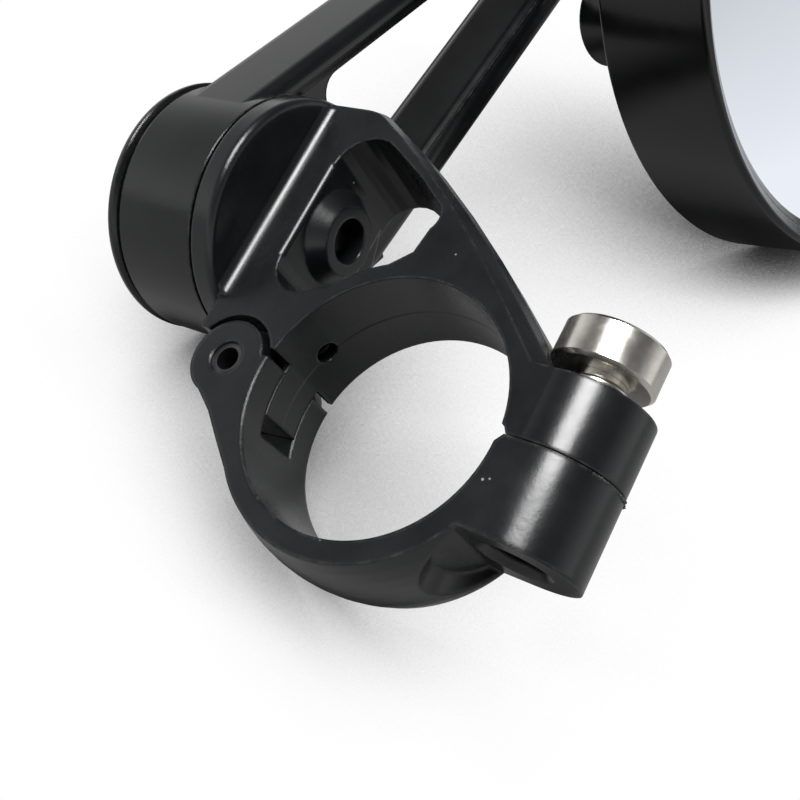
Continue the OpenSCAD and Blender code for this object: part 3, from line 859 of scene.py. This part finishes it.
@dataclass
class Studio:
    """Floor, world, softbox and camera.

    Attributes:
        floor_normal: which way the floor faces.
        floor_size: its side.
        paper: how pale the floor is to light and gloss.
        shadow_reach: how far off a piece still shades the floor.
        shadow_lean: how far the shade leans down the picture.
        shadow_samples: rays that measure the shade.
        shaded: openness at which the painted shadow is full, and at which it ends.
        ambient: level of the world to rays that light rough faces.
        gloss_heights: where the world starts to dim in the gloss, and where it is dimmest.
        overhead: level of the world overhead in the gloss.
        key_toward: where the softbox stands, seen from the object.
        key_distance: how far off it stands.
        key_watts: its power.
        key_size: its side.
        camera_place: where the camera stands.
        camera_right: its right.
        camera_up: its up.
        focal_share: focal length as a share of the picture's width.
        sensor: the sensor's width, in millimetres.
        clip: the nearest and the farthest that it sees.
    """

    floor_normal: Vector = field(default_factory=lambda: Vector((-0.75, -0.32, 0.58)))
    floor_size: float = 1.4
    paper: float = 0.27
    shadow_reach: float = 0.16
    shadow_lean: float = 0.15
    shadow_samples: int = 8
    shaded: Span = Span(0.2, 0.68)
    ambient: float = 0.34
    gloss_heights: tuple[float, float] = (0.12, 0.6)
    overhead: float = 0.12
    key_toward: Vector = field(default_factory=lambda: Vector((-0.86, -0.22, 0.28)))
    key_distance: float = 0.6
    key_watts: float = 6.0
    key_size: float = 0.25
    camera_place: Vector = field(default_factory=lambda: Vector((-69.728, -46.891, -19.251)) * MM)
    camera_right: Vector = field(default_factory=lambda: Vector((0.4056, -0.7937, 0.4534)))
    camera_up: Vector = field(default_factory=lambda: Vector((-0.4468, 0.2606, 0.8559)))
    focal_share: float = 1080.72 / 800
    sensor: float = 36.0
    clip: tuple[float, float] = (1 * MM, 10.0)

    def build(self) -> None:
        """Sets up everything that isn't part of the object."""
        self.floor()
        self.world()
        self.softbox()
        self.camera()

    def centre(self) -> Vector:
        """Finds the middle of the object.

        Returns:
            The middle of its box.
        """
        low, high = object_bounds()
        return (low + high) / 2

    def lowest(self, up: Vector) -> float:
        """Finds how low the object reaches.

        Args:
            up: the floor's normal.

        Returns:
            The lowest height along the normal.
        """
        return min(vertex.co.dot(up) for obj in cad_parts.values()
                   for vertex in obj.data.vertices)

    def stand(self, obj: bpy.types.Object, place: Vector, faces: Vector) -> None:
        """Puts an object in the scene with its Z axis turned.

        Args:
            obj: the object.
            place: where it goes.
            faces: which way its Z axis points.
        """
        turn = faces.to_track_quat("Z", "Y").to_matrix().to_4x4()
        obj.matrix_world = Matrix.Translation(place) @ turn
        bpy.context.scene.collection.objects.link(obj)

    def floor(self) -> None:
        """Lays the floor against the lowest point of the object."""
        up = self.floor_normal.normalized()
        mesh = bmesh.new()
        bmesh.ops.create_grid(mesh, x_segments=1, y_segments=1, size=self.floor_size / 2)
        data = bpy.data.meshes.new("floor")
        mesh.to_mesh(data)
        mesh.free()
        obj = bpy.data.objects.new("floor", data)
        centre = self.centre()
        self.stand(obj, centre + up * (self.lowest(up) - centre.dot(up)), up)
        obj.data.materials.append(self.floor_finish())
        obj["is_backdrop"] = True

    def floor_finish(self) -> bpy.types.Material:
        """Makes the floor's white paper, which is seen as the shadow that lies on it.

        Light and gloss meet the paper. To the camera it is clear, tinted grey by a painted shadow
        that ambient occlusion darkens where the object is near, not a shadow that the softbox
        casts; as clear as it is unshaded, so that a piece that a joint moves past it still shows.
        From behind it is clear.

        Returns:
            The material.
        """
        shader = Shader("floor_paper")
        path = shader.add("LightPath").outputs
        behind = shader.add("NewGeometry").outputs["Backfacing"]
        lean = (self.floor_normal.normalized() - self.camera_up * self.shadow_lean).normalized()
        toward = shader.add("CombineXYZ", X=lean.x, Y=lean.y, Z=lean.z).outputs[0]
        openness = shader.add("AmbientOcclusion", Normal=toward, Distance=self.shadow_reach)
        openness.samples = self.shadow_samples
        # Painted shadow: the grey that the camera sees on the floor comes from ambient occlusion,
        # not from the softbox's light.
        shade = shader.ramp(openness.outputs["AO"], self.shaded)
        seen = shader.mix(behind, shader.mix(shade, grey(0.0), grey(1.0)), grey(1.0))
        clear = shader.add("BsdfTransparent", Color=seen)
        paper = shader.add("BsdfDiffuse", Color=grey(self.paper))
        through = shader.math("MAXIMUM", path["Is Camera Ray"],
                              shader.math("MAXIMUM", path["Is Shadow Ray"], behind))
        mixed = shader.add("MixShader", Fac=through)
        shader.fill(mixed.inputs[1], paper.outputs[0])
        shader.fill(mixed.inputs[2], clear.outputs[0])
        return shader.finish(mixed.outputs[0])

    def world(self) -> None:
        """Sets a soft world: white where it is seen, and dimmer overhead in the gloss."""
        world = bpy.data.worlds.new("studio")
        world.use_nodes = True
        bpy.context.scene.world = world
        nodes = Nodes(world.node_tree)
        path = nodes.add("LightPath").outputs
        height = nodes.measure("DOT_PRODUCT", nodes.add("TexCoord").outputs["Generated"],
                               self.floor_normal.normalized())
        gloss = nodes.ramp(height, Span(*self.gloss_heights, 1.0, self.overhead))
        lit = nodes.pick(path["Is Glossy Ray"], self.ambient, gloss)
        seen = nodes.pick(path["Is Camera Ray"], lit, 1.0)
        level = nodes.pick(path["Is Transmission Ray"], seen, 1.0)
        back = nodes.add("Background", Color=grey(1.0), Strength=level)
        nodes.add("OutputWorld", Surface=back.outputs[0])

    def softbox(self) -> None:
        """Hangs a square soft lamp that faces the object."""
        data = bpy.data.lights.new("softbox", "AREA")
        data.shape = "SQUARE"
        data.size = self.key_size
        data.energy = self.key_watts
        toward = self.key_toward.normalized()
        self.stand(bpy.data.objects.new("softbox", data),
                   self.centre() + toward * self.key_distance, toward)

    def camera(self) -> None:
        """Places the camera as the photograph was taken."""
        data = bpy.data.cameras.new("photo_camera")
        data.sensor_width = self.sensor
        data.lens = self.focal_share * self.sensor
        data.clip_start, data.clip_end = self.clip
        obj = bpy.data.objects.new("photo_camera", data)
        right = self.camera_right.normalized()
        back = right.cross(self.camera_up).normalized()
        turn = Matrix((right, back.cross(right), back)).transposed().to_4x4()
        obj.matrix_world = Matrix.Translation(self.camera_place) @ turn
        bpy.context.scene.collection.objects.link(obj)
        bpy.context.scene.camera = obj


def main() -> None:
    """Builds the looks, a sub-assembly at a time."""
    logging.basicConfig(level=logging.INFO, format="%(name)s: %(message)s")
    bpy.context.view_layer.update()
    bpy.context.scene.view_settings.view_transform = "Standard"
    finishes = Finishes()
    finishes.build()
    finishes.dress()
    ThreadedScrew().build(finishes.made["nickel"])
    PartingBurr().build(finishes.made["burr_metal"])
    Studio().build()


if __name__ == "__main__":
    main()
